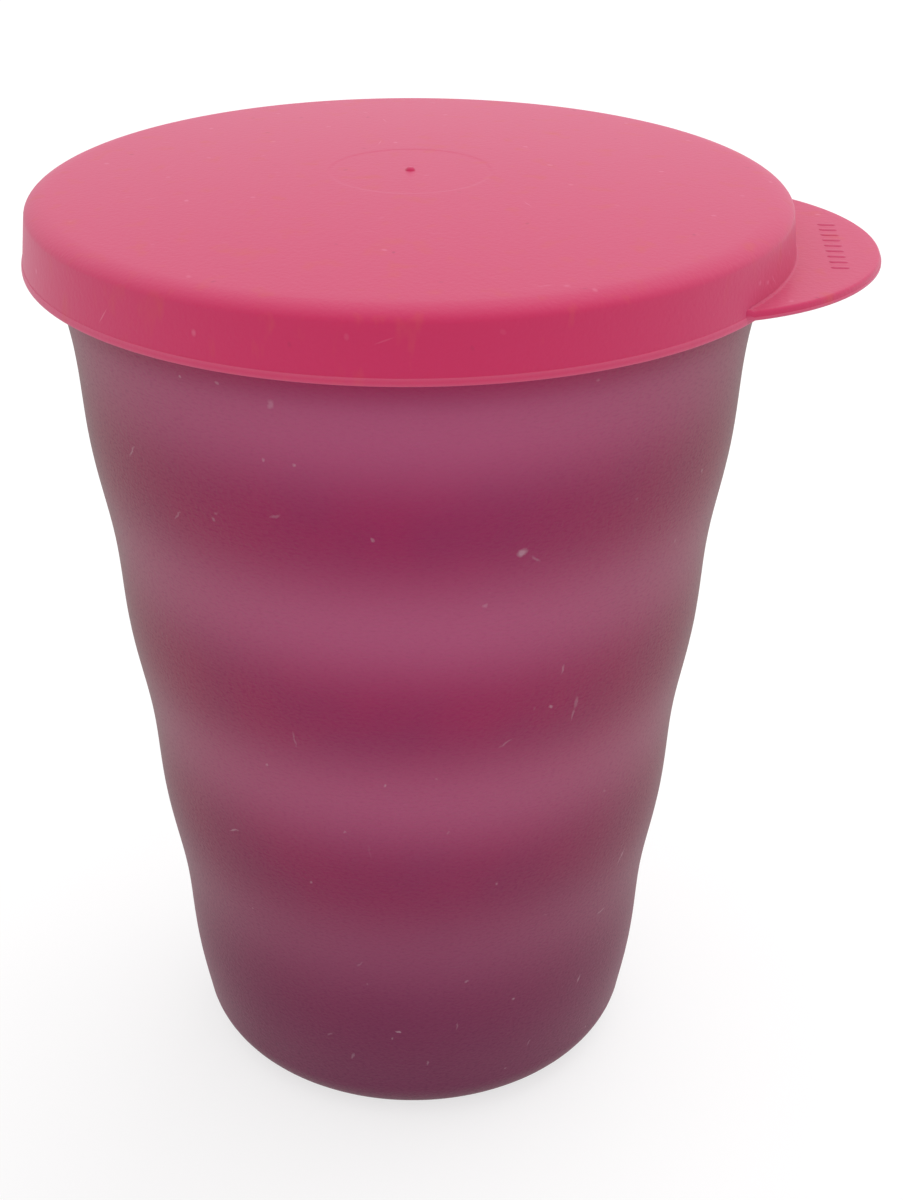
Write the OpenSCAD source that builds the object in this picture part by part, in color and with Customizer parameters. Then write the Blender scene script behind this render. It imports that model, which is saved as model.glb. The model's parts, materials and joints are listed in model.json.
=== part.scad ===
// Drinking tumbler in frosted plastic with a soft press-on seal lid and a pull tab.
// Origin: centre of the foot, on the plane it stands on. +Z is up and the pull tab points along +X.

/* [Tumbler] */
// Height from the foot to the top of the rim
cup_height = 111; // [95:1:140]
// Outer radius that the wall reaches at the height of the rim
cup_mouth_r = 41; // [37:0.5:46]
// Growth of the wall's radius for each millimetre of height
cup_taper = 0.1215; // [0.06:0.0005:0.14]
// Thickness of the wall
cup_wall = 1.6; // [1.2:0.1:2.2]
// Thickness of the floor
cup_floor = 2; // [1.5:0.1:3]
// Radius of the rounded heel between the wall and the foot
heel_r = 6.25; // [5:0.25:7.5]
// Width of the flat ring that the tumbler stands on
foot_width = 3.5; // [2:0.25:6]
// Depth of the recess inside the foot ring
foot_recess = 0.8; // [0.4:0.1:1.2]

/* [Ripples] */
// Height from one moulded ripple to the next
ripple_pitch = 24; // [18:0.5:32]
// How far a crest stands out from the plain taper
ripple_depth = 0.24; // [0.1:0.02:0.5]
// Height of the lowest crest above the foot
ripple_crest_h = 12.4; // [8:0.2:16]

/* [Rim] */
// How far the lip stands out from the wall
lip_proud = 0.7; // [0.6:0.1:1.2]
// Height of the lip
lip_height = 2.4; // [1.8:0.1:3]

/* [Lid] */
// How far the skirt reaches down below the top of the rim
skirt_drop = 5.6; // [5:0.1:8]
// Thickness of the lid's skirt at its top
skirt_wall = 1.2; // [1:0.1:1.6]
// Growth of the skirt's radius for each millimetre down from the top plate
skirt_draft = 0.1; // [0.05:0.01:0.14]
// Thickness of the lid's top plate
plate_wall = 1.5; // [1.2:0.1:2]
// Height of the crown at the middle of the top plate
crown_height = 1.9; // [1:0.1:3]
// Radius of the rounded edge between the top plate and the skirt
shoulder_r = 2; // [1:0.1:2.5]
// How far the bead at the skirt's lower edge stands out
bead_proud = 0.14; // [0.1:0.02:0.4]
// Height of the bead
bead_height = 0.9; // [0.7:0.05:1.4]
// Depth of the sealing ring that plugs the mouth
plug_depth = 5; // [3.5:0.25:7]
// Thickness of the sealing ring
plug_wall = 1.1; // [0.9:0.1:1.6]
// Radius of the faint ring round the gate mark
gate_ring_r = 9.2; // [6:0.2:12]

/* [Pull tab] */
// How far the tab reaches out from the bead
tab_reach = 9.2; // [7:0.2:14]
// Radius of the tab's rounded outline
tab_r = 25.4; // [20:0.2:32]
// Thickness of the tab
tab_wall = 1; // [0.8:0.1:1.4]
// Height of the tab's underside above the skirt's lower edge
tab_lift = 0.4; // [0.2:0.1:1]
// Distance from the bead to the line where the tab bends
tab_fold = 1; // [0.6:0.1:2]
// Number of grip ribs on the tab
rib_count = 9; // [5:2:11]
// Spacing of the grip ribs
rib_pitch = 2; // [1.4:0.1:2.4]
// Distance from the line where the tab bends to the middle of the ribs
rib_inset = 2.9; // [2:0.1:4]
// Length of each grip rib
rib_length = 2.2; // [1.5:0.1:3]

/* [Fits] */
// Gap between the lip and the skirt round it
skirt_clearance = 0.25; // [0.15:0.05:0.5]
// Gap between the lip and the holding ridge that passes over it
ridge_clearance = 0.05; // [0.03:0.01:0.1]
// Gap between the wall and the sealing ring inside it
plug_clearance = 0.1; // [0.05:0.01:0.2]

/* [Hidden] */
$fn = 144;

// Roundings of the moulded edges, and the number of steps along each rounded corner and the crown
edge_r = 0.5;
plug_edge_r = 0.4;
tab_edge_r = 0.3;
lip_edge_r = 0.8;
arc_steps = 8;
crown_steps = 18;

// Sizes too small to be worth changing: the holding ridge and the marks left on the lid by its mould
ridge_height = 1.2;
gate_mark_r = 0.7;
gate_mark_height = 0.3;
gate_ring_width = 0.4;
gate_ring_depth = 0.1;
rib_width = 0.5;
rib_height = 0.25;

// Tumbler: the ripples fade out below the rim, so that the sealing ring meets a plain cone
wall_angle = atan(cup_taper);
wall_step = 1.5;
ripple_end = cup_height - skirt_drop;
ripple_fade = ripple_pitch / 3;
heel_top = heel_r * (1 - sin(wall_angle));
heel_centre_r = wall_r(heel_top) - heel_r * cos(wall_angle);
inner_heel_r = heel_r - cup_wall;
floor_top = foot_recess + cup_floor;
inner_heel_top = floor_top + inner_heel_r * (1 - sin(wall_angle));
inner_heel_centre_r = bore_r(inner_heel_top) - inner_heel_r * cos(wall_angle);
foot_inner_r = heel_centre_r - foot_width;
lip_r = cup_mouth_r + lip_proud;
lip_bottom = cup_height - lip_height;

// Lid: everything is set out from the rim that it grips
skirt_bottom = cup_height - skirt_drop;
plate_edge = cup_height + plate_wall;
channel_r = lip_r + skirt_clearance;
bead_r = skirt_out(skirt_bottom) + bead_proud;
skirt_angle = atan(skirt_draft);
shoulder_start_r = skirt_out(plate_edge - shoulder_r) - shoulder_r * cos(skirt_angle);
crown_r = (pow(shoulder_start_r, 2) + pow(crown_height, 2)) / (2 * crown_height);
ridge_r = lip_r + ridge_clearance;
ridge_top = lip_bottom - ridge_clearance;
ridge_bottom = ridge_top - ridge_height;
plug_tip = cup_height - plug_depth;
plug_inner_r = plug_r(cup_height) - plug_wall;

// Pull tab: one disc, cut where it bends
tab_bottom = skirt_bottom + tab_lift;
tab_top = tab_bottom + tab_wall;
tab_centre_x = bead_r + tab_reach - tab_r;
tab_fold_x = bead_r + tab_fold;
rib_centre_x = tab_fold_x + rib_inset;

function smooth(t) = let (u = min(max(t, 0), 1)) u * u * (3 - 2 * u);
function ripple(h) = ripple_depth * cos(360 * (h - ripple_crest_h) / ripple_pitch)
    * smooth((ripple_end - h) / ripple_fade);
function wall_r(h) = cup_mouth_r - cup_taper * (cup_height - h) + ripple(h);
function bore_r(h) = wall_r(h) - cup_wall / cos(wall_angle);
function plug_r(h) = bore_r(h) - plug_clearance;
function skirt_out(h) = channel_r + skirt_wall + skirt_draft * (plate_edge - h);
function skirt_in(h) = skirt_out(h) - skirt_wall;
function crown_z(r) = plate_edge + crown_height - crown_r + sqrt(pow(crown_r, 2) - pow(r, 2));
function arc(x, z, r, from, to) = [
    for (i = [0:arc_steps]) let (a = from + (to - from) * i / arc_steps) [x + r * cos(a), z + r * sin(a)]
];
function wall_heights(from, to) = let (n = ceil((to - from) / wall_step)) [
    for (i = [1:n - 1]) from + (to - from) * i / n
];

// Outline of the tumbler from the axis out along the foot, up the wall and down the inside
function tumbler_outline() = concat(
    [[0, foot_recess], [foot_inner_r - foot_recess, foot_recess], [foot_inner_r, 0]],
    arc(heel_centre_r, heel_r, heel_r, -90, -wall_angle),
    [for (h = wall_heights(heel_top, lip_bottom)) [wall_r(h), h]],
    [[wall_r(lip_bottom), lip_bottom]],
    arc(lip_r - lip_edge_r, lip_bottom + lip_edge_r, lip_edge_r, -90, 0),
    arc(lip_r - lip_edge_r, cup_height - lip_edge_r, lip_edge_r, 0, 90),
    arc(bore_r(cup_height - edge_r) + edge_r, cup_height - edge_r, edge_r, 90, 180),
    [for (h = wall_heights(-cup_height + edge_r, -inner_heel_top)) [bore_r(-h), -h]],
    arc(inner_heel_centre_r, floor_top + inner_heel_r, inner_heel_r, -wall_angle, -90),
    [[0, floor_top]]
);

// Outline of the lid from the axis out over the crown, down the skirt and back along the underside
function lid_outline() = concat(
    [for (i = [0:crown_steps]) let (r = shoulder_start_r * i / crown_steps) [r, crown_z(r)]],
    arc(shoulder_start_r, plate_edge - shoulder_r, shoulder_r, 80, skirt_angle),
    [for (i = [0:arc_steps])
        let (a = 90 - 180 * i / arc_steps, h = skirt_bottom + bead_height / 2 * (1 + sin(a)))
        [skirt_out(h) + bead_proud * cos(a), h]],
    [for (h = [0, edge_r]) [skirt_in(skirt_bottom + h) + edge_r - h, skirt_bottom + h]],
    [[skirt_in(ridge_bottom), ridge_bottom], [ridge_r, (ridge_bottom + ridge_top) / 2]],
    [[skirt_in(ridge_top), ridge_top], [skirt_in(cup_height), cup_height], [plug_r(cup_height), cup_height]],
    [[plug_r(plug_tip + plug_edge_r), plug_tip + plug_edge_r], [plug_r(plug_tip) - plug_edge_r, plug_tip]],
    [[plug_r(plug_tip) - plug_wall, plug_tip], [plug_inner_r, cup_height]],
    [for (i = [crown_steps - 1:-1:0]) let (r = plug_inner_r * i / crown_steps) [r, crown_z(r) - plate_wall]]
);

// Disc with rounded edges that both halves of the tab are cut from
module tab_disc() {
    translate([tab_centre_x, 0, tab_bottom])
        rotate_extrude() polygon(concat(
            [[0, 0]],
            arc(tab_r - tab_edge_r, tab_edge_r, tab_edge_r, -90, 0),
            arc(tab_r - tab_edge_r, tab_wall - tab_edge_r, tab_edge_r, 0, 90),
            [[0, tab_wall]]
        ));
}

// Everything beyond the line where the tab bends
module beyond_fold() {
    translate([tab_fold_x, -tab_r, tab_bottom - tab_wall]) cube([tab_r, 2 * tab_r, 3 * tab_wall]);
}

// Raised ribs across the middle of the tab, where the fingers take hold
module grip_ribs() {
    for (i = [0:rib_count - 1])
        translate([rib_centre_x - rib_length / 2, (i - (rib_count - 1) / 2) * rib_pitch - rib_width / 2,
            tab_top - rib_height])
            cube([rib_length, rib_width, 2 * rib_height]);
}

module tumbler() {
    color("#94506d") rotate_extrude() polygon(tumbler_outline());
}

module lid() {
    color("#db6f90") {
        difference() {
            rotate_extrude() polygon(lid_outline());
            translate([0, 0, crown_z(gate_ring_r) - gate_ring_depth])
                rotate_extrude() translate([gate_ring_r - gate_ring_width / 2, 0])
                    square([gate_ring_width, plate_wall]);
        }
        translate([0, 0, crown_z(0) - gate_mark_height])
            cylinder(r = gate_mark_r, h = 2 * gate_mark_height);
        difference() {
            tab_disc();
            beyond_fold();
            translate([0, 0, tab_bottom - tab_wall])
                cylinder(r = skirt_out(tab_top) - skirt_wall / 2, h = 3 * tab_wall);
        }
    }
}

module pull_tab() {
    color("#dc7a98") {
        intersection() {
            tab_disc();
            beyond_fold();
        }
        grip_ribs();
    }
}

tumbler();
lid();
pull_tab();
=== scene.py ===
"""Dresses the frosted tumbler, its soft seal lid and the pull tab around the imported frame.

Lengths are in metres.
"""

import json
import logging
import math
from dataclasses import dataclass, field
from enum import Enum
from functools import partial, reduce
from typing import Any, Callable, Iterable

import bmesh
import bpy
from mathutils import Matrix, Vector


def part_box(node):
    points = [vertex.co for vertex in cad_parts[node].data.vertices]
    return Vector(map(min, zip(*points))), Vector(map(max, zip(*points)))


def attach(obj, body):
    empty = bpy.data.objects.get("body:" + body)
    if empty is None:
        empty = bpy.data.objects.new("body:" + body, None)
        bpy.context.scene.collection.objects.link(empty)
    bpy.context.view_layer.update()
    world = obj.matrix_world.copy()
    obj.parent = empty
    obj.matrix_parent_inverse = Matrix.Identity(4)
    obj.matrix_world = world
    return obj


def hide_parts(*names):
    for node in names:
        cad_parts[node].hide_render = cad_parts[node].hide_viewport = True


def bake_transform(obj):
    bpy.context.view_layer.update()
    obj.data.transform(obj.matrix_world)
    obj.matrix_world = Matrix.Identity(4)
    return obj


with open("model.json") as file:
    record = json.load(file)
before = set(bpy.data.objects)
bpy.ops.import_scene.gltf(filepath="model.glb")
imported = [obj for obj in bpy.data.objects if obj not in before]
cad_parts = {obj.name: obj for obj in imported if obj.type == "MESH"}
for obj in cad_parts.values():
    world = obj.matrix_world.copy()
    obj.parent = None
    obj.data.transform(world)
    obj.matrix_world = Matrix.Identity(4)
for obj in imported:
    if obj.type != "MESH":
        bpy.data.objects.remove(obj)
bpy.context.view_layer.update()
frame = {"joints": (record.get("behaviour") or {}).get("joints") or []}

METRIC_UV = "metric"
MM = 0.001
UP = Vector((0, 0, 1))
WHITE = (1.0, 1.0, 1.0, 1.0)
# A face counts as flat where the upright share of its normal is more than this.
FLAT_NORMAL = 0.7
# Points nearer to each other than this are one point.
WELD = 0.001 * MM
# How far a worn mark is solid, and where it ends, as shares of its size.
MARK_CORE = 0.4
MARK_END = 1.1
# Levels of ever finer detail in a noise.
CLUMP_DETAIL = 3.0
GRAIN_DETAIL = 2.0
# Sockets of the Mix node that take and give colours. Their names aren't unique.
MIX_SHARE, MIX_BELOW, MIX_ABOVE, MIX_RESULT = 0, 6, 7, 2
LOG = logging.getLogger("tumbler")

Point = tuple[float, float]
Reach = tuple[float, float, float]
Tree = bpy.types.NodeTree
Socket = bpy.types.NodeSocket
Mesh = bmesh.types.BMesh
Piece = bpy.types.Object
Material = bpy.types.Material


class Body(Enum):
    """The bodies that pieces ride on."""

    TUMBLER = "tumbler"
    LID = "lid"
    PULL_TAB = "pull_tab"


class Slot(Enum):
    """The record's material slots."""

    FROSTED_CUP = "frosted_cup"
    SEAL_LID = "seal_lid"


class Tone(Enum):
    """The point attributes that tell a finish where its colour differs. Most of them mark painted light and
    shade.
    """

    # Painted light bands on the ripples.
    RIPPLE_LIGHT = "ripple_light"
    # Painted shade towards the foot.
    FOOT_SHADE = "heel"
    # Painted red light from the lid, just under its edge.
    UNDER_LID_LIGHT = "lip"
    # Painted light on the bead's edges, and the tab lip's real wear.
    RUB_AND_LIGHT = "rub_and_light"


# ---------------------------------------------------------------- shared helpers


def linear(hex_code: str) -> tuple[float, float, float, float]:
    """Turns an sRGB hex value into a linear colour, along the curve that sRGB lays down.

    Args:
        hex_code: The colour as six hex digits, such as "d96185".

    Returns:
        Linear red, green, blue and an alpha of 1.
    """
    parts = [int(hex_code[i : i + 2], 16) / 255 for i in (0, 2, 4)]
    r, g, b = [c / 12.92 if c <= 0.04045 else ((c + 0.055) / 1.055) ** 2.4 for c in parts]
    return r, g, b, 1.0


def add_node(tree: Tree, kind: str, inputs: dict | None = None, **settings: Any) -> bpy.types.Node:
    """Adds one node with its settings, its input values and its links.

    Args:
        tree: The node tree that the node goes into.
        kind: Blender's name for the node's type, without the leading "ShaderNode".
        inputs: Socket name or number, and the value or the output socket that goes in there.
        settings: Properties of the node itself.

    Returns:
        The new node.
    """
    node = tree.nodes.new("ShaderNode" + kind)
    for name, value in settings.items():
        setattr(node, name, value)
    for key, value in (inputs or {}).items():
        if isinstance(value, bpy.types.NodeSocket):
            tree.links.new(value, node.inputs[key])
        else:
            node.inputs[key].default_value = value
    return node


def add_object(name: str, data: bpy.types.ID) -> Piece:
    """Puts an object with this data into the scene and returns it."""
    added = bpy.data.objects.new(name, data)
    bpy.context.scene.collection.objects.link(added)
    return added


def empty_tree(owner: Material | bpy.types.World) -> Tree:
    """Switches on the nodes of a material or a world, clears them and returns their tree."""
    owner.use_nodes = True
    owner.node_tree.nodes.clear()
    return owner.node_tree


def lay_coats(tree: Tree, base: str, coats: Iterable[tuple[Socket, str]]) -> Socket:
    """Lays coats of colour over each other.

    Args:
        tree: The material's node tree.
        base: The colour below them all, as a hex value.
        coats: How far each coat covers what is below it, and its colour as a hex value.

    Returns:
        The colour that shows.
    """
    colour: Any = linear(base)
    for cover, tint in coats:
        layers = {MIX_SHARE: cover, MIX_BELOW: colour, MIX_ABOVE: linear(tint)}
        colour = add_node(tree, "Mix", layers, data_type="RGBA").outputs[MIX_RESULT]
    return colour


def arc(centre: Point, radius: float, start: float, end: float, steps: int) -> list[Point]:
    """Points along a round corner of an outline.

    Args:
        centre: Centre of the corner, as radius and height.
        radius: Radius of the corner.
        start: Angle of the first point in degrees, from the outward direction towards up.
        end: Angle of the last point in degrees.
        steps: Number of steps between them.

    Returns:
        The points from start to end, both included.
    """
    angles = [math.radians(start + (end - start) * i / steps) for i in range(steps + 1)]
    return [(centre[0] + radius * math.cos(a), centre[1] + radius * math.sin(a)) for a in angles]


def smooth(t: float) -> float:
    """Eases a value from 0 to 1 and clamps it outside that range."""
    u = min(max(t, 0.0), 1.0)
    return u * u * (3 - 2 * u)


def set_metric_uv(bm: Mesh, wall_radius: float) -> None:
    """Gives every face coordinates in metres, so that a pattern's size is a real one everywhere.

    Faces that look up or down use their X and Y, and walls use the way round the axis and the height.

    Args:
        bm: The mesh.
        wall_radius: The radius at which the way round the axis is measured.
    """
    layer = bm.loops.layers.uv.new(METRIC_UV)
    for face in bm.faces:
        middle = face.calc_center_median()
        turn = math.atan2(middle.y, middle.x)
        flat = abs(face.normal.z) > FLAT_NORMAL
        for loop in face.loops:
            x, y, z = loop.vert.co
            if flat:
                loop[layer].uv = (x, y)
                continue
            sideways = y * math.cos(turn) - x * math.sin(turn)
            outward = x * math.cos(turn) + y * math.sin(turn)
            loop[layer].uv = ((turn + math.atan2(sideways, outward)) * wall_radius, z)


def finish_mesh(name: str, bm: Mesh, wall_radius: float, sharp_angle: float) -> Piece:
    """Turns a finished bmesh into an object in the scene, smooth except at its sharp edges.

    Args:
        name: Name of the piece.
        bm: The mesh, which is freed.
        wall_radius: The radius for the metric coordinates of walls.
        sharp_angle: Angle in degrees above which an edge stays sharp.

    Returns:
        The new object.
    """
    bmesh.ops.recalc_face_normals(bm, faces=bm.faces)
    set_metric_uv(bm, wall_radius)
    mesh = bpy.data.meshes.new(name)
    bm.to_mesh(mesh)
    bm.free()
    mesh.polygons.foreach_set("use_smooth", [True] * len(mesh.polygons))
    mesh.set_sharp_from_angle(angle=math.radians(sharp_angle))
    return add_object(name, mesh)


def add_loft(bm: Mesh, rings: list[list[Vector]]) -> None:
    """Joins a row of rings with faces and closes both ends. A ring of one point becomes the tip of a fan.

    Args:
        bm: The mesh that receives the faces.
        rings: The rings, each with the same number of points or with only one.
    """
    rows = [[bm.verts.new(p) for p in ring] for ring in rings]
    for a, b in zip(rows, rows[1:]):
        count = max(len(a), len(b))
        for i in range(count):
            j = (i + 1) % count
            corners = [a[i % len(a)], a[j % len(a)], b[j % len(b)], b[i % len(b)]]
            bm.faces.new([v for k, v in enumerate(corners) if v not in corners[:k]])
    for end in (rows[0], rows[-1]):
        if len(end) > 1:
            bm.faces.new(end)


def set_tone(piece: Piece, tone: Tone, value_at: Callable[[Vector], float]) -> None:
    """Marks each point of a piece with how far a tone of its finish applies there.

    Args:
        piece: The piece.
        tone: The tone.
        value_at: Gives the value from 0 to 1 at a place.
    """
    layer = piece.data.attributes.new(tone.value, "FLOAT", "POINT")
    for vert in piece.data.vertices:
        layer.data[vert.index].value = value_at(vert.co)


def lathe(outline: list[Point], segments: int) -> Mesh:
    """Turns an outline round the Z axis.

    Args:
        outline: Points as radius and height. The first and the last lie on the axis.
        segments: Number of segments round the axis.

    Returns:
        The closed mesh.
    """
    bm = bmesh.new()
    turns = [Matrix.Rotation(math.tau * i / segments, 3, "Z") for i in range(segments)]
    rings = [[t @ Vector((r, 0, z)) for t in turns] if r > 0 else [Vector((0, 0, z))] for r, z in outline]
    add_loft(bm, rings)
    return bm


# ---------------------------------------------------------------- finishes


def draw_mark(tree: Tree, offset: Socket, turn: Any, size: Point) -> Socket:
    """Draws one oval mark with soft ends.

    Args:
        tree: The material's node tree.
        offset: The way from the mark's middle, in metres.
        turn: The mark's direction in radians, as a number or a socket.
        size: Length and width of the mark.

    Returns:
        A value that is 1 on the mark and 0 off it.
    """
    node = partial(add_node, tree)
    turned = node("VectorRotate", {"Vector": offset, "Angle": turn}, rotation_type="Z_AXIS").outputs[0]
    shares = (2 / size[0], 2 / size[1], 0)
    scaled = node("VectorMath", {0: turned, 1: shares}, operation="MULTIPLY").outputs[0]
    reach = node("VectorMath", {0: scaled}, operation="LENGTH").outputs["Value"]
    fade = {"Value": reach, "From Min": MARK_END, "From Max": MARK_CORE}
    return node("MapRange", fade).outputs["Result"]


@dataclass(frozen=True)
class Strewn:
    """Small marks strewn thinly over a surface, such as specks or hairline scratches."""

    spacing: float
    length: float
    width: float
    share: float
    seed: float
    unevenness: float = 0.8

    def mask(self, tree: Tree, uv: Socket) -> Socket:
        """Draws one mark in some cells of an uneven grid, each turned its own way and of its own strength.

        Args:
            tree: The material's node tree.
            uv: The metric coordinates.

        Returns:
            A value that is up to 1 on a mark and 0 off it.
        """
        node = partial(add_node, tree)
        moved = node("VectorMath", {0: uv, 1: (self.seed, self.seed, 0)}, operation="ADD").outputs[0]
        grid = {"Vector": moved, "Scale": 1 / self.spacing, "Randomness": self.unevenness}
        cells = node("TexVoronoi", grid, voronoi_dimensions="2D").outputs
        offset = node("VectorMath", {0: moved, 1: cells["Position"]}, operation="SUBTRACT").outputs[0]
        chance = node("SeparateColor", {"Color": cells["Color"]}).outputs
        angle = node("Math", {0: chance["Red"], 1: math.tau}, operation="MULTIPLY").outputs[0]
        shape = draw_mark(tree, offset, angle, (self.length, self.width))
        picked = {"Value": chance["Green"], "From Min": self.share, "From Max": 0.0}
        here = node("MapRange", picked).outputs["Result"]
        return node("Math", {0: shape, 1: here}, operation="MULTIPLY").outputs[0]


@dataclass(frozen=True)
class Nick:
    """One scratch or chip at its own place on the wall. Angles are in degrees and lengths in metres."""

    turn: float
    height: float
    length: float
    width: float
    tilt: float = 0.0
    strength: float = 1.0

    def mask(self, tree: Tree, uv: Socket, wall_radius: float) -> Socket:
        """Draws the nick.

        Args:
            tree: The material's node tree.
            uv: The metric coordinates.
            wall_radius: The radius at which those measure the way round the axis.

        Returns:
            The nick's strength on the nick, and 0 off it.
        """
        middle = (math.radians(self.turn) * wall_radius, self.height, 0)
        offset = add_node(tree, "VectorMath", {0: uv, 1: middle}, operation="SUBTRACT").outputs[0]
        shape = draw_mark(tree, offset, -math.radians(self.tilt), (self.length, self.width))
        return add_node(tree, "Math", {0: shape, 1: self.strength}, operation="MULTIPLY").outputs[0]


@dataclass(frozen=True)
class LayeredPlastic:
    """A plastic that shows its body square on, and more of a skin that scatters light at a low angle."""

    ior: float
    skin_blend: float
    roughness: float = 0.5
    specular: float = 0.3
    skin_roughness: float = 0.45
    skin_specular: float = 0.1
    # Red light travels furthest below the surface and green least, in millimetres.
    translucency: float = 0.15
    light_reach: Reach = (2.5, 0.6, 1.0)

    def show(self, tree: Tree, normal: Socket, body: Socket, skin: Socket) -> None:
        """Puts the plastic on the surface.

        Args:
            tree: The material's node tree.
            normal: The surface's normal with its grain.
            body: The body's colour.
            skin: The skin's colour.
        """
        node = partial(add_node, tree)
        below = node("BsdfPrincipled", {
            "Base Color": body, "Roughness": self.roughness, "IOR": self.ior, "Normal": normal,
            "Specular IOR Level": self.specular, "Subsurface Weight": self.translucency,
            "Subsurface Radius": self.light_reach, "Subsurface Scale": MM,
        })
        above = node("BsdfPrincipled", {
            "Base Color": skin, "Roughness": self.skin_roughness, "IOR": self.ior, "Normal": normal,
            "Specular IOR Level": self.skin_specular,
        })
        graze = node("LayerWeight", {"Blend": self.skin_blend, "Normal": normal}).outputs["Facing"]
        surface = node("MixShader", {0: graze, 1: below.outputs[0], 2: above.outputs[0]})
        node("OutputMaterial", {"Surface": surface.outputs[0]})


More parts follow.
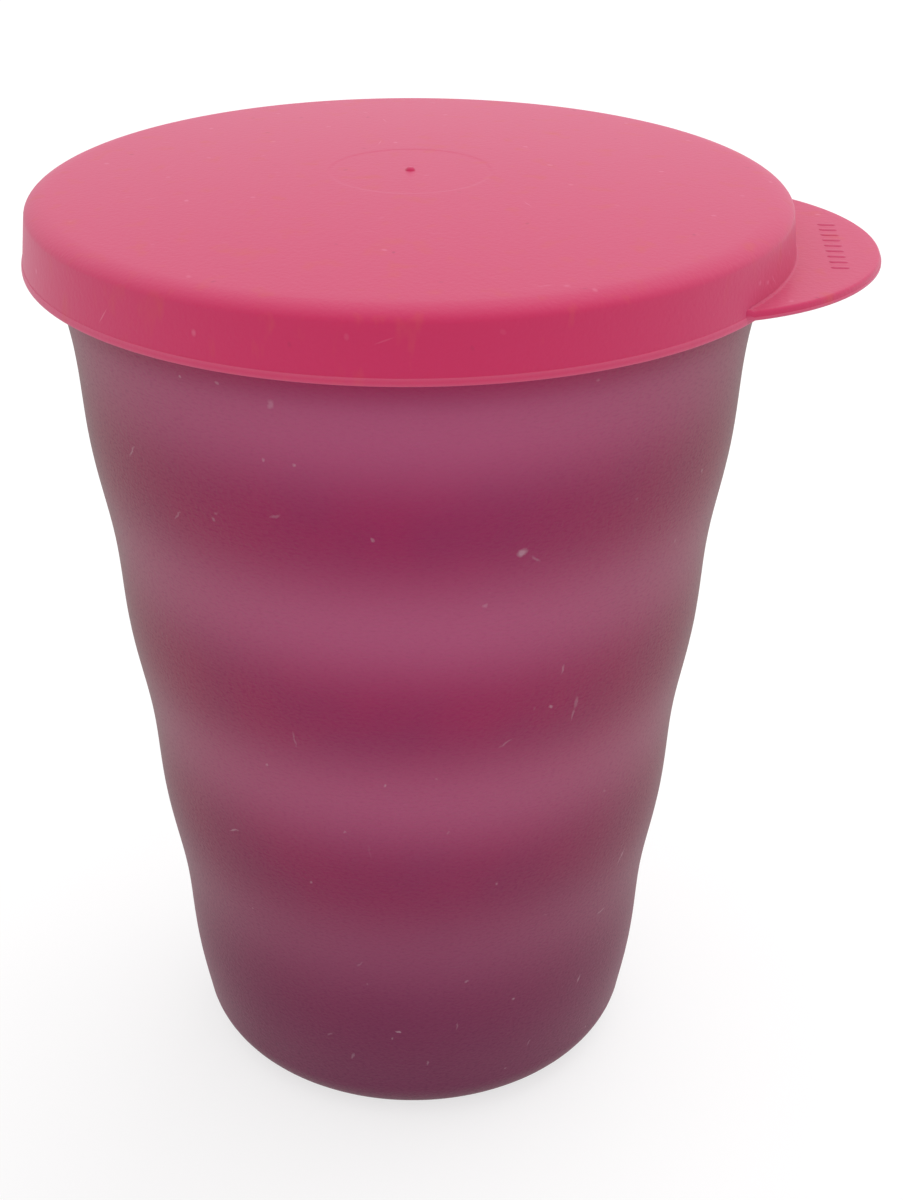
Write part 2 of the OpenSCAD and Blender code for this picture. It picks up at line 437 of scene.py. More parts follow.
@dataclass(frozen=True)
class FrostedPolypropylene(LayeredPlastic):
    """Injection-moulded polypropylene from a grit-blasted mould, scuffed by use.

    The frosting scatters light at the surface, so the eye sees no clear reflection. It sees the deep,
    slightly translucent body colour square on, and a dusty grey skin with a fine grain at a low angle. Its
    colour carries painted light and shade too: paler bands painted where the ripples face the light, painted
    shade that deepens it towards the foot, painted red light from the lid just under its edge, and painted
    shade in the pits of its skin.
    """

    body: str = "9d1557"
    # Painted light on the ripples, where their wall faces the light.
    ripple_light: str = "b8507d"
    # Painted shade, darker towards the foot.
    heel: str = "70204d"
    # Painted red light, which the lid passes onto the wall just under its edge.
    lip: str = "b0165b"
    frost: str = "7b5b57"
    # Painted shade on the skin towards the foot.
    frost_foot_shade: str = "814a5a"
    ior: float = 1.49
    skin_blend: float = 0.34
    light_reach: Reach = (2.5, 0.6, 1.2)
    # The blasted grit is about 0.05 mm, too fine to show, so its grain is drawn as clumps of it.
    grit: float = 0.4 * MM
    grit_height: float = 0.06 * MM
    clump_share: float = 0.15
    # Its deeper pits are as fine. They are drawn coarser too, and drawn out round the wall, so that they
    # still show where the wall turns away. Their dark colour is painted shade in the pits.
    pit_shade: str = "38222a"
    pit_height: float = 0.25 * MM
    pit_stretch: float = 3.0
    pit_limits: Point = (0.5, 0.64)
    pit_shade_strength: float = 0.5
    # The pigment has mixed a little unevenly into the melt, in wide soft swirls.
    pigment: str = "86205a"
    swirl: float = 14 * MM
    swirl_limits: Point = (0.4, 0.7)
    swirl_strength: float = 0.4
    # Scratches and nicks are pale, with edges that are ragged by this much.
    scratch: str = "d8c4cc"
    scratch_strength: float = 0.27
    ragged: float = 0.6 * MM
    specks: Strewn = Strewn(spacing=8 * MM, length=0.5 * MM, width=0.4 * MM, share=0.25, seed=0.77)
    scratches: Strewn = Strewn(spacing=16 * MM, length=2.2 * MM, width=0.3 * MM, share=0.2, seed=0.31)
    nicks: tuple[Nick, ...] = (
        Nick(turn=-67.5, height=84 * MM, length=1.5 * MM, width=1.0 * MM, tilt=25, strength=1.2),
        Nick(turn=-65, height=83 * MM, length=1.5 * MM, width=0.35 * MM, tilt=-35, strength=0.5),
        Nick(turn=-73, height=77.8 * MM, length=0.7 * MM, width=0.5 * MM, strength=0.6),
        Nick(turn=-57.5, height=67.5 * MM, length=1.3 * MM, width=0.4 * MM, tilt=80, strength=0.7),
        Nick(turn=-54, height=62.5 * MM, length=1.6 * MM, width=0.7 * MM, tilt=84, strength=0.5),
        Nick(turn=-54.5, height=61 * MM, length=1.8 * MM, width=0.35 * MM, tilt=78, strength=0.6),
        Nick(turn=-59.5, height=63 * MM, length=0.6 * MM, width=0.5 * MM),
        Nick(turn=-32, height=34 * MM, length=2.8 * MM, width=0.3 * MM, tilt=55, strength=1.2),
        Nick(turn=-89, height=15.5 * MM, length=1.1 * MM, width=0.35 * MM, tilt=-5, strength=1.5),
        Nick(turn=-61, height=18.5 * MM, length=0.6 * MM, width=0.5 * MM),
        Nick(turn=-41, height=17 * MM, length=1.6 * MM, width=0.3 * MM, tilt=60),
        Nick(turn=-105.5, height=101 * MM, length=1.4 * MM, width=0.8 * MM, tilt=70, strength=0.6),
        Nick(turn=-126, height=85 * MM, length=2.0 * MM, width=0.35 * MM, tilt=50, strength=0.6),
        Nick(turn=-106.5, height=88 * MM, length=1.4 * MM, width=0.4 * MM, tilt=20, strength=0.5),
        Nick(turn=-118, height=86 * MM, length=0.6 * MM, width=0.5 * MM, strength=0.6),
        Nick(turn=-100.5, height=10.5 * MM, length=1.6 * MM, width=0.5 * MM, tilt=60, strength=0.6),
        Nick(turn=-82, height=10 * MM, length=0.8 * MM, width=0.35 * MM, tilt=75, strength=0.8),
        Nick(turn=-73, height=23 * MM, length=0.8 * MM, width=0.4 * MM, tilt=15, strength=0.8),
        Nick(turn=-75, height=16 * MM, length=1.5 * MM, width=0.3 * MM, tilt=85, strength=0.5),
        Nick(turn=-97.5, height=26 * MM, length=1.6 * MM, width=0.35 * MM, tilt=40, strength=0.4),
        Nick(turn=-55.5, height=10 * MM, length=1.2 * MM, width=0.3 * MM, tilt=60, strength=0.6),
        Nick(turn=-106, height=13.5 * MM, length=1.3 * MM, width=0.35 * MM, tilt=30, strength=0.5),
    )

    def build(self, name: str, wall_radius: float) -> Material:
        """Makes the material.

        Args:
            name: Name of the material.
            wall_radius: The radius at which the metric coordinates measure the way round the axis.

        Returns:
            The material.
        """
        material = bpy.data.materials.new(name)
        tree = empty_tree(material)
        node = partial(add_node, tree)
        # Painted light and shade: the ripples' lit bands, the shade towards the foot and the lid's red light
        # under its edge.
        lit_band, low, under_lid_light = (node("Attribute", attribute_name=tone.value).outputs["Fac"]
                            for tone in (Tone.RIPPLE_LIGHT, Tone.FOOT_SHADE, Tone.UNDER_LID_LIGHT))
        place = node("TexCoord").outputs["Object"]
        uv = node("UVMap", uv_map=METRIC_UV).outputs["UV"]
        drawn = node("VectorMath", {0: uv, 1: (1 / self.pit_stretch, 1, 1)}, operation="MULTIPLY").outputs[0]
        clumps = node("TexNoise", {"Vector": drawn, "Scale": 1 / self.pit_height, "Detail": CLUMP_DETAIL})
        grain = node("TexNoise", {"Vector": place, "Scale": 1 / self.grit, "Detail": GRAIN_DETAIL})
        heights = {0: clumps.outputs["Fac"], 1: self.clump_share, 2: grain.outputs["Fac"]}
        rough = node("Math", heights, operation="MULTIPLY_ADD").outputs[0]
        bump = node("Bump", {"Height": rough, "Strength": 1.0, "Distance": self.grit_height}).outputs[0]
        # Painted shade in the pits of the skin.
        pit_shading = node("MapRange", {
            "Value": clumps.outputs["Fac"], "From Min": self.pit_limits[0], "From Max": self.pit_limits[1],
            "To Max": self.pit_shade_strength,
        }).outputs["Result"]
        worn = self.wear(tree, uv, wall_radius)
        # Over the pigment swirls go painted red light under the lid, painted light on the ripples and painted
        # shade towards the foot, and then the wear.
        colour = lay_coats(tree, self.body, (
            (self.swirls(tree, place), self.pigment), (under_lid_light, self.lip), (lit_band, self.ripple_light),
            (low, self.heel), (worn, self.scratch),
        ))
        # The skin gets painted shade towards the foot and in its pits, and then the wear.
        dusty = lay_coats(tree, self.frost, ((low, self.frost_foot_shade), (pit_shading, self.pit_shade), (worn, self.scratch)))
        self.show(tree, bump, colour, dusty)
        return material

    def swirls(self, tree: Tree, place: Socket) -> Socket:
        """Tells how much more pigment a place has, from 0 to the swirls' strength."""
        noise = {"Vector": place, "Scale": 1 / self.swirl, "Detail": CLUMP_DETAIL}
        cloud = add_node(tree, "TexNoise", noise).outputs["Fac"]
        return add_node(tree, "MapRange", {
            "Value": cloud, "From Min": self.swirl_limits[0], "From Max": self.swirl_limits[1],
            "To Max": self.swirl_strength,
        }).outputs["Result"]

    def wear(self, tree: Tree, uv: Socket, wall_radius: float) -> Socket:
        """Draws everything that use has left on the wall, with ragged edges.

        Args:
            tree: The material's node tree.
            uv: The metric coordinates.
            wall_radius: The radius at which those measure the way round the axis.

        Returns:
            How pale the surface is rubbed, from 0 to 1.
        """
        node = partial(add_node, tree)
        noise = node("TexNoise", {"Vector": uv, "Scale": 1 / self.ragged, "Detail": CLUMP_DETAIL})
        push = node("VectorMath", {0: noise.outputs["Color"], 1: (-0.5, -0.5, 0)}, operation="ADD").outputs[0]
        moves = {0: push, 1: (self.ragged,) * 3, 2: uv}
        shaken = node("VectorMath", moves, operation="MULTIPLY_ADD").outputs[0]
        masks = [nick.mask(tree, shaken, wall_radius) for nick in self.nicks]
        masks += [marks.mask(tree, shaken) for marks in (self.specks, self.scratches)]
        most = reduce(lambda a, b: node("Math", {0: a, 1: b}, operation="MAXIMUM").outputs[0], masks)
        return node("Math", {0: most, 1: self.scratch_strength}, operation="MULTIPLY").outputs[0]


@dataclass(frozen=True)
class SealPolyethylene(LayeredPlastic):
    """Injection-moulded low-density polyethylene, soft and waxy.

    The wax that comes to its surface scatters light, so the eye sees a saturated body colour square on, and a
    pale satin bloom with a fine skin texture at a low angle. Use has left faint stains, specks and hairlines,
    and has worn the tab's lip pale. The bead is painted paler at both its edges: painted light that its
    rounded edges catch.
    """

    body: str = "cc285e"
    bloom: str = "d26282"
    roughness: float = 0.38
    specular: float = 0.28
    ior: float = 1.51
    skin_blend: float = 0.38
    # The skin's own texture is about 0.1 mm, too fine to show, so it is drawn as coarser swells.
    grain: float = 0.5 * MM
    grain_height: float = 0.035 * MM
    # Stains are clouds that are drawn out downwards where they have run.
    stain: str = "cf5a4e"
    streak: float = 3 * MM
    streak_run: float = 0.35
    stain_limits: Point = (0.58, 0.85)
    stain_strength: float = 0.55
    # Pale pink of scuffs and wear, also painted light on the bead's edges.
    scuff_and_light: str = "e79bb3"
    rub_and_light_strength: float = 0.18
    scuff_strength: float = 0.3
    hairlines: Strewn = Strewn(spacing=12 * MM, length=2.2 * MM, width=0.18 * MM, share=0.3, seed=0.12)
    dust: Strewn = Strewn(spacing=8 * MM, length=0.8 * MM, width=0.6 * MM, share=0.45, seed=0.58)
    speck: str = "8f2c4e"
    speck_strength: float = 0.35
    grime: Strewn = Strewn(spacing=9 * MM, length=0.7 * MM, width=0.45 * MM, share=0.5, seed=0.91)

    def build(self, name: str) -> Material:
        """Makes the material.

        Args:
            name: Name of the material.

        Returns:
            The material.
        """
        material = bpy.data.materials.new(name)
        tree = empty_tree(material)
        node = partial(add_node, tree)
        place = node("TexCoord").outputs["Object"]
        texture = {"Vector": place, "Scale": 1 / self.grain, "Detail": GRAIN_DETAIL}
        swells = node("TexNoise", texture).outputs["Fac"]
        bump = node("Bump", {"Height": swells, "Strength": 1.0, "Distance": self.grain_height}).outputs[0]
        body, bloom = (self.soiled(tree, place, clean) for clean in (self.body, self.bloom))
        self.show(tree, bump, body, bloom)
        return material

    def soiled(self, tree: Tree, place: Socket, clean: str) -> Socket:
        """Puts what use has left, and the bead's painted light, over a clean colour.

        Args:
            tree: The material's node tree.
            place: The object's coordinates.
            clean: The clean colour as a hex value.

        Returns:
            The colour with its stains, the bead's painted light, the tab's worn lip, specks and hairlines.
        """
        node = partial(add_node, tree)
        uv = node("UVMap", uv_map=METRIC_UV).outputs["UV"]
        drawn = node("VectorMath", {0: place, 1: (1, 1, self.streak_run)}, operation="MULTIPLY").outputs[0]
        cloud = node("TexNoise", {"Vector": drawn, "Scale": 1 / self.streak, "Detail": CLUMP_DETAIL})
        stained = node("MapRange", {
            "Value": cloud.outputs["Fac"], "From Min": self.stain_limits[0], "From Max": self.stain_limits[1],
            "To Max": self.stain_strength,
        }).outputs["Result"]
        # Painted light on the bead's edges, and real wear on the tab's lip.
        rub_and_light = node("Attribute", attribute_name=Tone.RUB_AND_LIGHT.value).outputs["Fac"]
        scuffs = {0: self.hairlines.mask(tree, uv), 1: self.dust.mask(tree, uv)}
        pale = node("Math", scuffs, operation="MAXIMUM").outputs[0]
        coats = [(stained, self.stain)]
        for amount, strength, tint in (
            (rub_and_light, self.rub_and_light_strength, self.scuff_and_light),
            (pale, self.scuff_strength, self.scuff_and_light),
            (self.grime.mask(tree, uv), self.speck_strength, self.speck),
        ):
            coats.append((node("Math", {0: amount, 1: strength}, operation="MULTIPLY").outputs[0], tint))
        return lay_coats(tree, clean, coats)


# ---------------------------------------------------------------- the tumbler


@dataclass
class Tumbler:
    """The tumbler: a tapered wall with shallow moulded ripples, a lip, a rounded heel and a foot ring."""

    wall: float = 1.6 * MM
    floor: float = 2.0 * MM
    taper: float = 0.1215
    heel_radius: float = 6.25 * MM
    foot_width: float = 3.5 * MM
    foot_recess: float = 0.8 * MM
    foot_edge: float = 0.4 * MM
    ripple_pitch: float = 24.0 * MM
    ripple_depth: float = 0.24 * MM
    ripple_crest: float = 12.4 * MM
    ripple_top: float = 105.4 * MM
    # The painted light band of a ripple, where its wall faces the light, lies this share of the pitch above
    # its trough, and is this much narrower.
    ripple_light_shift: float = 0.105
    ripple_light_power: float = 1.2
    # Over this far below the lid's edge the painted ripple light fades out and the painted red light from the
    # lid fades in.
    lip_shade: float = 5.0 * MM
    # The painted shade reaches this far up from the foot.
    foot_shade_reach: float = 60.0 * MM
    lip_proud: float = 0.7 * MM
    lip_height: float = 2.4 * MM
    lip_edge: float = 0.8 * MM
    rim_edge: float = 0.5 * MM
    step: float = 1.0 * MM
    segments: int = 192
    sharp_angle: float = 40.0
    finish: FrostedPolypropylene = field(default_factory=FrostedPolypropylene)

    def __post_init__(self) -> None:
        """Takes the overall sizes from the frame."""
        low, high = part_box("tumbler")
        self.base = low.z
        self.height = high.z - low.z
        self.lip_radius = (high.y - low.y) / 2
        self.mouth_radius = self.lip_radius - self.lip_proud
        self.angle = math.atan(self.taper)

    def wall_radius(self, height: float) -> float:
        """Gives the wall's outer radius at a height above the foot."""
        phase = math.tau * (height - self.ripple_crest) / self.ripple_pitch
        fade = smooth((self.ripple_top - height) / (self.ripple_pitch / 3))
        cone = self.mouth_radius - self.taper * (self.height - height)
        return cone + self.ripple_depth * math.cos(phase) * fade

    def bore_radius(self, height: float) -> float:
        """Gives the wall's inner radius at a height above the foot."""
        return self.wall_radius(height) - self.wall / math.cos(self.angle)

    def ripple_light_at(self, place: Vector) -> float:
        """Tells where light is painted on the ripples: 1 in a ripple's painted light band, where its wall
        faces the light, 0 between the bands and in the lid's shade under the lip.
        """
        height = place.z - self.base
        phase = math.tau * ((height - self.ripple_crest) / self.ripple_pitch - self.ripple_light_shift)
        band = ((1 - math.cos(phase)) / 2) ** self.ripple_light_power
        return band * smooth((self.ripple_top - height) / self.lip_shade)

    def under_lid_light_at(self, place: Vector) -> float:
        """Tells how far the painted red light from the lid reaches: 1 by the lip, 0 below the lid."""
        return smooth((place.z - self.base - self.ripple_top + self.lip_shade) / self.lip_shade)

    def foot_shade_at(self, place: Vector) -> float:
        """Tells how much painted shade darkens a place: 0 in the plain wall, 1 at the foot."""
        return 1 - smooth((place.z - self.base) / self.foot_shade_reach)

    def heights(self, low: float, high: float) -> list[float]:
        """Lists the heights between two levels, both left out, at which the wall gets a ring."""
        count = math.ceil((high - low) / self.step)
        return [low + (high - low) * i / count for i in range(1, count)]

    def outline(self) -> list[Point]:
        """Draws the section from the axis out along the foot, up the wall and down the inside.

        Returns:
            The outline as radius and height.
        """
        tilt = math.degrees(self.angle)
        heel_top = self.heel_radius * (1 - math.sin(self.angle))
        heel_centre = self.wall_radius(heel_top) - self.heel_radius * math.cos(self.angle)
        inner_heel = self.heel_radius - self.wall
        floor_top = self.foot_recess + self.floor
        inner_top = floor_top + inner_heel * (1 - math.sin(self.angle))
        inner_centre = self.bore_radius(inner_top) - inner_heel * math.cos(self.angle)
        foot_inner = heel_centre - self.foot_width
        foot = self.foot_edge
        lip_bottom = self.height - self.lip_height
        lip_centre = self.lip_radius - self.lip_edge
        rim_bottom = self.height - self.rim_edge
        rim_centre = self.bore_radius(rim_bottom) + self.rim_edge
        points = [(0.0, self.foot_recess), (foot_inner - 2 * self.foot_recess, self.foot_recess)]
        points += arc((foot_inner - self.foot_recess, self.foot_recess - foot), foot, 90, 45, steps=3)
        points += arc((foot_inner + foot, foot), foot, 225, 270, steps=3)
        points += arc((heel_centre, self.heel_radius), self.heel_radius, -90, -tilt, steps=14)
        points += [(self.wall_radius(h), h) for h in [*self.heights(heel_top, lip_bottom), lip_bottom]]
        points += arc((lip_centre, lip_bottom + self.lip_edge), self.lip_edge, -90, 0, steps=5)
        points += arc((lip_centre, self.height - self.lip_edge), self.lip_edge, 0, 90, steps=6)
        points += arc((rim_centre, rim_bottom), self.rim_edge, 90, 180, steps=6)
        points += [(self.bore_radius(h), h) for h in reversed(self.heights(inner_top, rim_bottom))]
        points += arc((inner_centre, floor_top + inner_heel), inner_heel, -tilt, -90, steps=12)
        points += [(0.0, floor_top)]
        return [(r, z + self.base) for r, z in points]

    def build(self) -> Piece:
        """Builds and dresses the tumbler.

        Returns:
            The piece, which stands for the frame's tumbler.
        """
        turned = lathe(self.outline(), self.segments)
        piece = finish_mesh("tumbler_body", turned, self.mouth_radius, self.sharp_angle)
        # Painted light and shade on the wall: the ripples' lit bands, the shade towards the foot and the
        # lid's red light under its edge.
        set_tone(piece, Tone.RIPPLE_LIGHT, self.ripple_light_at)
        set_tone(piece, Tone.FOOT_SHADE, self.foot_shade_at)
        set_tone(piece, Tone.UNDER_LID_LIGHT, self.under_lid_light_at)
        piece.data.materials.append(self.finish.build("frosted_polypropylene", self.mouth_radius))
        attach(piece, Body.TUMBLER.value)
        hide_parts("tumbler")
        return piece


# ---------------------------------------------------------------- the lid


@dataclass
class SealLid:
    """The press-on lid: crowned top, rounded shoulder, flared skirt with a bead, channel and sealing ring."""

    tumbler: Tumbler
    skirt_wall: float = 1.2 * MM
    skirt_draft: float = 0.112
    plate_wall: float = 1.85 * MM
    shoulder_reach: float = 3.9 * MM
    shoulder_drop: float = 1.6 * MM
    shoulder_from: float = 74.0
    bead_height: float = 0.85 * MM
    bead_room: float = 0.14 * MM
    bead_proud: float = 0.1 * MM
    bead_fullness: float = 0.8
    bead_root: float = 0.1 * MM
    edge: float = 0.5 * MM
    ridge_height: float = 1.2 * MM
    ridge_proud: float = 0.2 * MM
    plug_depth: float = 5.0 * MM
    plug_wall: float = 1.1 * MM
    plug_gap: float = 0.1 * MM
    plug_lead: float = 0.4 * MM
    plug_edge: float = 0.1 * MM
    plug_inner_edge: float = 0.3 * MM
    gate_mark: float = 0.55 * MM
    gate_height: float = 0.3 * MM
    # The gate mark's section: a share of its radius, and how far it has dropped there from its top.
    gate_section: tuple[Point, ...] = ((0.0, 0.0), (0.5, 0.0), (0.9, 0.15 * MM))
    gate_foot: float = 1.05
    # A shallow disc round the gate mark, which the end of a mould insert has left.
    insert_radius: float = 9.2 * MM
    insert_depth: float = 0.04 * MM
    insert_slope: float = 0.1 * MM
    crown_rings: int = 24
    segments: int = 192
    sharp_angle: float = 40.0
    # How pale the bead is painted at its middle, and up to which share of its height: painted light on its
    # rounded edges.
    bead_light_middle: float = 0.4
    bead_light_end: float = 0.95
    finish: SealPolyethylene = field(default_factory=SealPolyethylene)

    def __post_init__(self) -> None:
        """Takes the overall sizes from the frame."""
        low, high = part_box("lid")
        self.bottom = low.z
        self.bead_radius = -low.x
        self.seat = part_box("tumbler")[1].z
        self.edge_top = self.seat + self.plate_wall
        self.crown_top = high.z - self.gate_height

    def skirt(self, height: float) -> float:
        """Gives the skirt's outer radius at a height in the frame, with no bead."""
        return self.bead_radius - self.bead_room - self.skirt_draft * (height - self.bottom)

    def channel(self, height: float) -> float:
        """Gives the radius of the channel inside the skirt at a height in the frame."""
        return self.skirt(height) - self.skirt_wall

    def shoulder_points(self) -> list[Point]:
        """Draws the oval shoulder from the crowned top to the skirt, tangent to both.

        Returns:
            The points as radius and height.
        """
        last = math.degrees(math.atan(self.skirt_draft * self.shoulder_drop / self.shoulder_reach))
        unit = arc((0.0, 0.0), 1.0, self.shoulder_from, last, steps=12)
        middle = self.edge_top - self.shoulder_drop
        end_height = middle + self.shoulder_drop * unit[-1][1]
        centre = self.skirt(end_height) - self.shoulder_reach * unit[-1][0]
        return [(centre + self.shoulder_reach * x, middle + self.shoulder_drop * y) for x, y in unit]

    def crown_height(self, radius: float) -> float:
        """Gives the height of the crowned top at a distance from the axis."""
        rim, height = self.shoulder_points()[0]
        rise = self.crown_top - height
        ball = (rim**2 + rise**2) / (2 * rise)
        return self.crown_top - ball + math.sqrt(ball**2 - radius**2)

    def top_outline(self) -> list[Point]:
        """Draws the top from the gate mark at its middle out to the shoulder.

        Returns:
            The outline as radius and height.
        """
        mark_top = self.crown_top + self.gate_height
        points = [(self.gate_mark * share, mark_top - drop) for share, drop in self.gate_section]
        sunk = [self.gate_mark * self.gate_foot, *(r * MM for r in (1, 2, 4, 6, 8))]
        sunk += [self.insert_radius - self.insert_slope * k for k in (4, 1)]
        points += [(r, self.crown_height(r) - self.insert_depth) for r in sunk]
        first = self.insert_radius + 3 * self.insert_slope
        span = self.shoulder_points()[0][0] - first
        around = [self.insert_radius + self.insert_slope]
        around += [first + span * i / self.crown_rings for i in range(self.crown_rings)]
        return points + [(r, self.crown_height(r)) for r in around]

    def bead_points(self) -> list[Point]:
        """Draws the skirt's outside from the shoulder down, and round the bead at its lower edge.

        Returns:
            The points as radius and height.
        """
        top = self.shoulder_points()[-1][1]
        drop = top - (self.bottom + self.bead_height + self.bead_root)
        points = [(self.skirt(z), z) for z in (top - drop * i / 6 for i in range(1, 7))]
        for out, up in arc((0.0, 0.0), 1.0, 90, -90, steps=12):
            z = self.bottom + self.bead_height / 2 * (1 + up)
            points.append((self.skirt(z) + self.bead_proud * max(out, 0) ** self.bead_fullness, z))
        return points

    def underside_points(self) -> list[Point]:
        """Draws the channel with its holding ridge, the sealing ring and the underside of the top.

        Returns:
            The points as radius and height.
        """
        ridge_top = self.seat - self.tumbler.lip_height
        ridge_bottom = ridge_top - self.ridge_height
        ridge_middle = (ridge_top + ridge_bottom) / 2
        plug = self.plug_radius
        tip = self.seat - self.plug_depth
        plug_inner = plug(self.seat) - self.plug_wall
        corner = (self.channel(self.bottom) + self.edge, self.bottom + self.edge)
        points = arc(corner, self.edge, 270, 180, steps=4)
        points += [(self.channel(ridge_bottom), ridge_bottom)]
        points += [(self.channel(ridge_middle) - self.ridge_proud, ridge_middle)]
        points += [(self.channel(z), z) for z in (ridge_top, self.seat)]
        points += [(plug(z), z) for z in (self.seat, tip + self.plug_lead)]
        points += [(plug(tip) - self.plug_edge, tip + self.plug_edge), (plug(tip) - self.plug_lead, tip)]
        points += [(plug(tip) - self.plug_wall + self.plug_inner_edge, tip)]
        points += [(plug(tip) - self.plug_wall, tip + self.plug_inner_edge), (plug_inner, self.seat)]
        inside = [plug_inner * i / 18 for i in range(17, -1, -1)]
        return points + [(r, self.crown_height(r) - self.plate_wall) for r in inside]

    def plug_radius(self, height: float) -> float:
        """Gives the sealing ring's outer radius at a height in the frame."""
        return self.tumbler.bore_radius(height - self.tumbler.base) - self.plug_gap

    def rub_and_light_at(self, place: Vector) -> float:
        """Tells how pale a place is painted: most at both edges of the bead, painted light that its rounded
        edges catch, and 0 away from it.
        """
        outside = math.hypot(place.x, place.y) > self.channel(place.z) + self.skirt_wall / 2
        share = (place.z - self.bottom) / self.bead_height
        rub_and_light = self.bead_light_middle + (1 - self.bead_light_middle) * abs(2 * share - 1)
        return rub_and_light if outside and share < self.bead_light_end else 0.0

    def build(self) -> Piece:
        """Builds and dresses the lid.

        Returns:
            The piece, which stands for the frame's lid.
        """
        outline = self.top_outline() + self.shoulder_points() + self.bead_points() + self.underside_points()
        turned = lathe(outline, self.segments)
        piece = finish_mesh("seal_lid", turned, self.bead_radius, self.sharp_angle)
        # The bead's paler edges are painted light.
        set_tone(piece, Tone.RUB_AND_LIGHT, self.rub_and_light_at)
        piece.data.materials.append(self.finish.build("seal_polyethylene"))
        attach(piece, Body.LID.value)
        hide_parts("lid")
        return piece


# ---------------------------------------------------------------- the pull tab


@dataclass
class PullTab:
    """The pull tab: a thin rounded leaf out of the skirt, with a lip along its edge and grip ribs."""

    lid: SealLid
    outline_radius: float = 25.4 * MM
    edge: float = 0.5 * MM
    lip_top: float = 0.38 * MM
    lip_proud: float = 0.1 * MM
    lip_edge: float = 0.1 * MM
    # How far the lip's first point lies inside its outline, and below its top.
    lip_corner: Point = (0.03 * MM, 0.04 * MM)
    fillet: float = 0.25 * MM
    sunk: float = 0.5 * MM
    bend: float = 1.2 * MM
    rib_count: int = 9
    rib_pitch: float = 2.0 * MM
    rib_inset: float = 2.9 * MM
    rib_length: float = 2.2 * MM
    rib_width: float = 0.9 * MM
    rib_height: float = 0.1 * MM
    rib_root: float = 0.05 * MM
    rib_step: float = 13.0
    rib_rings: int = 7
    rib_sides: int = 16
    stations: int = 96
    sharp_angle: float = 50.0

    def __post_init__(self) -> None:
        """Takes the place of the tab and of its bending line from the frame."""
        low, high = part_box("pull_tab")
        self.bottom = low.z
        self.tip = high.x
        joint = next(j for j in frame["joints"] if j["name"] == "tab_bend")
        self.fold, _, self.top = joint["pos_m"]
        self.centre = self.tip - self.outline_radius
        self.root = self.lid.skirt(self.top)

    def end_angles(self) -> Point:
        """Finds where the outline runs into the skirt, a little below its surface.

        Returns:
            The angle round the lid's axis, and the angle round the middle of the tab's own outline.
        """
        reach = self.root - self.sunk
        x = (reach**2 - self.outline_radius**2 + self.centre**2) / (2 * self.centre)
        y = math.sqrt(reach**2 - x**2)
        return math.atan2(y, x), math.atan2(y, x - self.centre)

    def top_at(self, point: Vector) -> float:
        """Gives the height of the upper face, which rises in a fillet towards the skirt."""
        away = min(max(math.hypot(point.x, point.y) - self.root, 0.0), self.fillet)
        return self.top + self.fillet - math.sqrt(self.fillet**2 - (self.fillet - away) ** 2)

    def rim(self, end: Vector, outward: Vector) -> list[Vector]:
        """Draws the edge from the upper face round to the lower one, with the lip that stands out below.

        Args:
            end: Where the upper face ends, with no height.
            outward: The direction out of the edge.

        Returns:
            The edge's points from the top down.
        """
        reach = self.edge - self.lip_proud
        drop = self.top - self.bottom - self.lip_top
        turns = [math.radians(90 * i / 6) for i in range(1, 7)]
        top = self.top_at(end)
        upper = [end + outward * (reach * math.sin(a)) + UP * (top + drop * (math.cos(a) - 1)) for a in turns]
        lip = [(self.edge - self.lip_corner[0], self.lip_top - self.lip_corner[1])]
        lip += [(self.edge, self.lip_top - self.lip_edge), (self.edge, self.lip_edge)]
        lip += [(self.edge - self.lip_edge, 0.0)]
        return upper + [end + outward * out + UP * (self.bottom + z) for out, z in lip]

    def section(self, share: float) -> list[Vector]:
        """Draws the closed section of the tab along one line from the skirt to the outline.

        Args:
            share: Place along the tab, from -1 to 1.

        Returns:
            The section's points, first along the top outwards, then round the edge and back along the bottom.
        """
        turn, own_turn = (a * share for a in self.end_angles())
        outward = Vector((math.cos(own_turn), math.sin(own_turn), 0))
        start = Vector((math.cos(turn), math.sin(turn), 0)) * (self.root - 2 * self.sunk)
        end = Vector((self.centre, 0, 0)) + outward * (self.outline_radius - self.edge)
        width = (end - start).length
        fillet_stops = [2 * self.sunk + self.fillet * i / 4 for i in range(5)]
        stops = [0.0, self.sunk, *fillet_stops, *(width * i / 10 for i in range(3, 11))]
        line = [start.lerp(end, s) for s in sorted(min(stop / width, 1.0) for stop in stops)]
        upper = [p + UP * self.top_at(p) for p in line]
        lower = [p + UP * self.bottom for p in reversed(line)]
        return upper + self.rim(end, outward) + lower

    def add_rib(self, bm: Mesh, middle: float) -> None:
        """Adds one low grip rib with rounded sides and ends.

        Args:
            bm: The mesh that receives it.
            middle: Where the rib lies across the tab.
        """
        half_width = self.rib_width / 2
        straight = self.rib_length / 2 - half_width
        inset = self.fold + self.rib_inset
        turns = [math.tau * (k + 0.5) / self.rib_sides for k in range(self.rib_sides)]
        rings = []
        for a in (math.radians(self.rib_step * i) for i in range(self.rib_rings)):
            reach = half_width * math.cos(a)
            z = self.top - self.rib_root + (self.rib_height + self.rib_root) * math.sin(a)
            rings.append([
                Vector((inset + math.copysign(straight, math.cos(t)) + reach * math.cos(t),
                        middle + reach * math.sin(t), z))
                for t in turns
            ])
        add_loft(bm, rings)

    def rub_and_light_at(self, place: Vector) -> float:
        """Tells how far use has worn a place pale: 1 on the lip along the edge, 0 elsewhere."""
        out = math.hypot(place.x - self.centre, place.y)
        return float(out > self.outline_radius - self.lip_proud and place.z < self.bottom + self.lip_top)

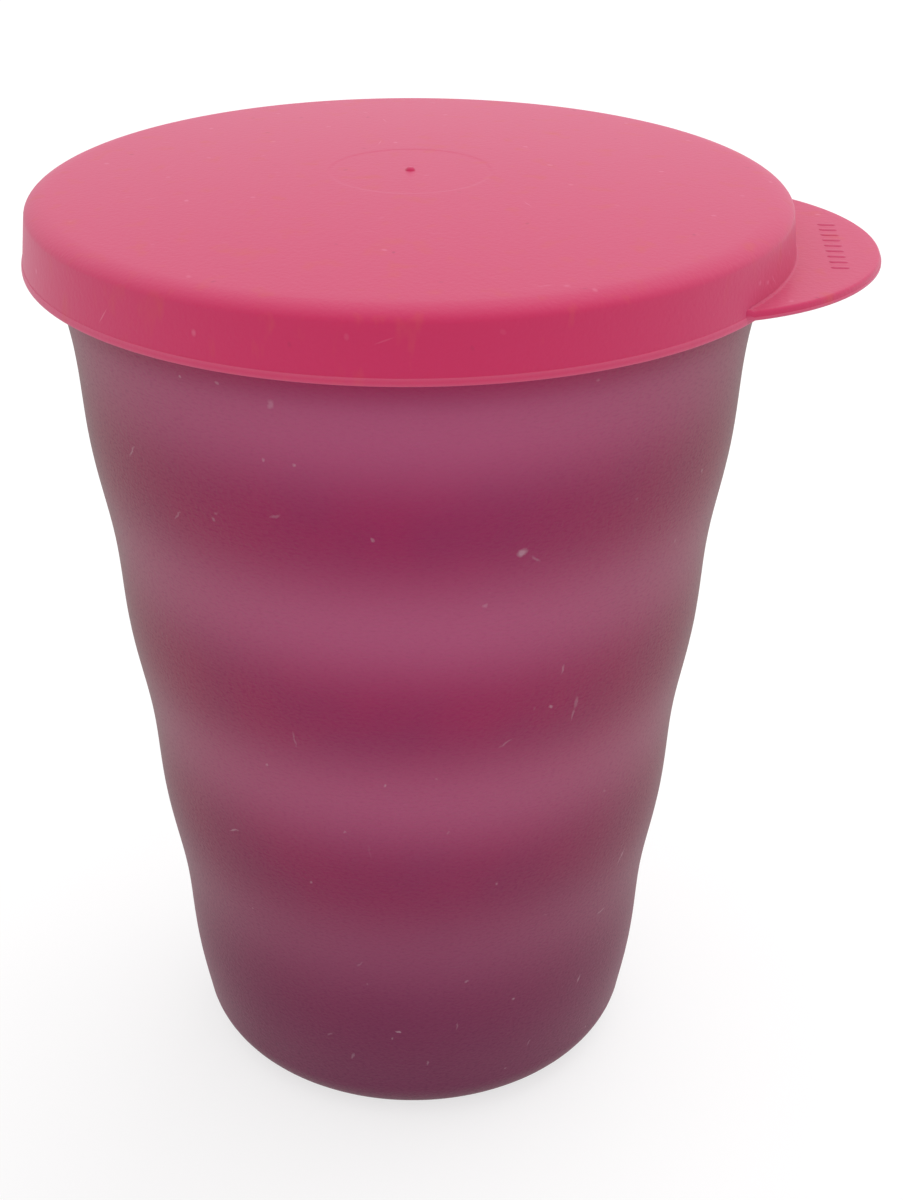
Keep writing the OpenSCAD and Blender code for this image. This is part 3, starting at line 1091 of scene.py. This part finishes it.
    def build(self, material: Material) -> Piece:
        """Builds and dresses the pull tab.

        Args:
            material: The lid's material, because both are one moulding.

        Returns:
            The piece, which stands for the frame's pull tab.
        """
        bm = bmesh.new()
        add_loft(bm, [self.section(-1 + 2 * i / self.stations) for i in range(self.stations + 1)])
        bmesh.ops.remove_doubles(bm, verts=bm.verts, dist=WELD)
        for i in range(self.rib_count):
            self.add_rib(bm, (i - (self.rib_count - 1) / 2) * self.rib_pitch)
        piece = finish_mesh("pull_tab_leaf", bm, self.root, self.sharp_angle)
        set_tone(piece, Tone.RUB_AND_LIGHT, self.rub_and_light_at)
        piece.data.materials.append(material)
        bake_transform(piece)
        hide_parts("pull_tab")
        return piece


# ---------------------------------------------------------------- the studio


@dataclass
class Studio:
    """The pale floor, the soft light and the camera. Angles are in degrees."""

    camera_place: Vector = field(default_factory=lambda: Vector((19.89, -221.49, 175.4)) * MM)
    heading: float = 3.887
    tilt: float = 27.483
    roll: float = 0.224
    lens: float = 60.0
    nearest: float = 10 * MM
    floor_size: float = 6.0
    floor_bounce: str = "dcdcdc"
    floor_shade: str = "a0a0a0"
    floor_glow: float = 0.68
    sky: float = 0.88
    key_power: float = 7.0
    key_size: float = 1.4
    key_place: Vector = field(default_factory=lambda: Vector((0.45, 0.75, 1.1)))
    key_aim: Vector = field(default_factory=lambda: Vector((0, 0, 0.06)))

    def add_camera(self) -> None:
        """Places the camera a little above the lid, with the pull tab on the right."""
        data = bpy.data.cameras.new("camera")
        data.lens = self.lens
        data.clip_start = self.nearest
        camera = add_object("camera", data)
        turn = Matrix.Rotation(math.radians(self.heading), 4, "Z")
        nod = Matrix.Rotation(math.radians(90 - self.tilt), 4, "X")
        spin = Matrix.Rotation(math.radians(self.roll), 4, "Z")
        camera.matrix_world = Matrix.Translation(self.camera_place) @ turn @ nod @ spin
        bpy.context.scene.camera = camera

    def add_key(self) -> None:
        """Adds one square soft light high behind the tumbler, which leaves no hard reflection on it."""
        data = bpy.data.lights.new("key", "AREA")
        data.shape = "SQUARE"
        data.size = self.key_size
        data.energy = self.key_power
        light = add_object("key", data)
        light.location = self.key_place
        light.rotation_euler = (self.key_aim - self.key_place).to_track_quat("-Z", "Y").to_euler()
        light.visible_glossy = False

    def shows_backdrop(self, tree: Tree) -> Socket:
        """Gives 1 for rays that show the white backdrop, and 0 for those that light the object."""
        node = partial(add_node, tree)
        path = node("LightPath").outputs
        kinds = [path["Is Camera Ray"], path["Is Glossy Ray"], path["Is Transmission Ray"]]
        return reduce(lambda a, b: node("Math", {0: a, 1: b}, operation="MAXIMUM").outputs[0], kinds)

    def add_world(self) -> None:
        """Lights the scene evenly from all round, under a white sky."""
        world = bpy.data.worlds.new("sky")
        tree = empty_tree(world)
        levels = {"Value": self.shows_backdrop(tree), "To Min": self.sky, "To Max": 1.0}
        level = add_node(tree, "MapRange", levels).outputs["Result"]
        sky = add_node(tree, "Background", {"Color": WHITE, "Strength": level})
        add_node(tree, "OutputWorld", {"Surface": sky.outputs[0]})
        bpy.context.scene.world = world

    def add_floor(self) -> None:
        """Lays the pale floor, which shows white apart from the tumbler's soft shadow."""
        bm = bmesh.new()
        bmesh.ops.create_grid(bm, x_segments=1, y_segments=1, size=self.floor_size / 2)
        mesh = bpy.data.meshes.new("floor")
        bm.to_mesh(mesh)
        bm.free()
        floor = add_object("floor", mesh)
        material = bpy.data.materials.new("pale_floor")
        tree = empty_tree(material)
        node = partial(add_node, tree)
        bounce = node("BsdfDiffuse", {"Color": linear(self.floor_bounce)}).outputs[0]
        shade = node("BsdfDiffuse", {"Color": linear(self.floor_shade)}).outputs[0]
        glow = node("Emission", {"Color": WHITE, "Strength": self.floor_glow}).outputs[0]
        shown = node("AddShader", {0: shade, 1: glow}).outputs[0]
        surface = node("MixShader", {0: self.shows_backdrop(tree), 1: bounce, 2: shown}).outputs[0]
        node("OutputMaterial", {"Surface": surface})
        mesh.materials.append(material)

    def build(self) -> None:
        """Sets up the camera, the floor, the sky and the light."""
        bpy.context.scene.view_settings.view_transform = "Standard"
        self.add_camera()
        self.add_floor()
        self.add_world()
        self.add_key()


def main() -> None:
    """Builds the studio and then each piece of the tumbler, and reports them."""
    logging.basicConfig(level=logging.INFO, format="%(name)s: %(message)s")
    Studio().build()
    tumbler = Tumbler()
    lid = SealLid(tumbler)
    cup_piece = tumbler.build()
    lid_piece = lid.build()
    tab_piece = PullTab(lid).build(lid_piece.data.materials[0])
    for piece in (cup_piece, lid_piece, tab_piece):
        LOG.info("%s: %d faces", piece.name, len(piece.data.polygons))


if __name__ == "__main__":
    main()
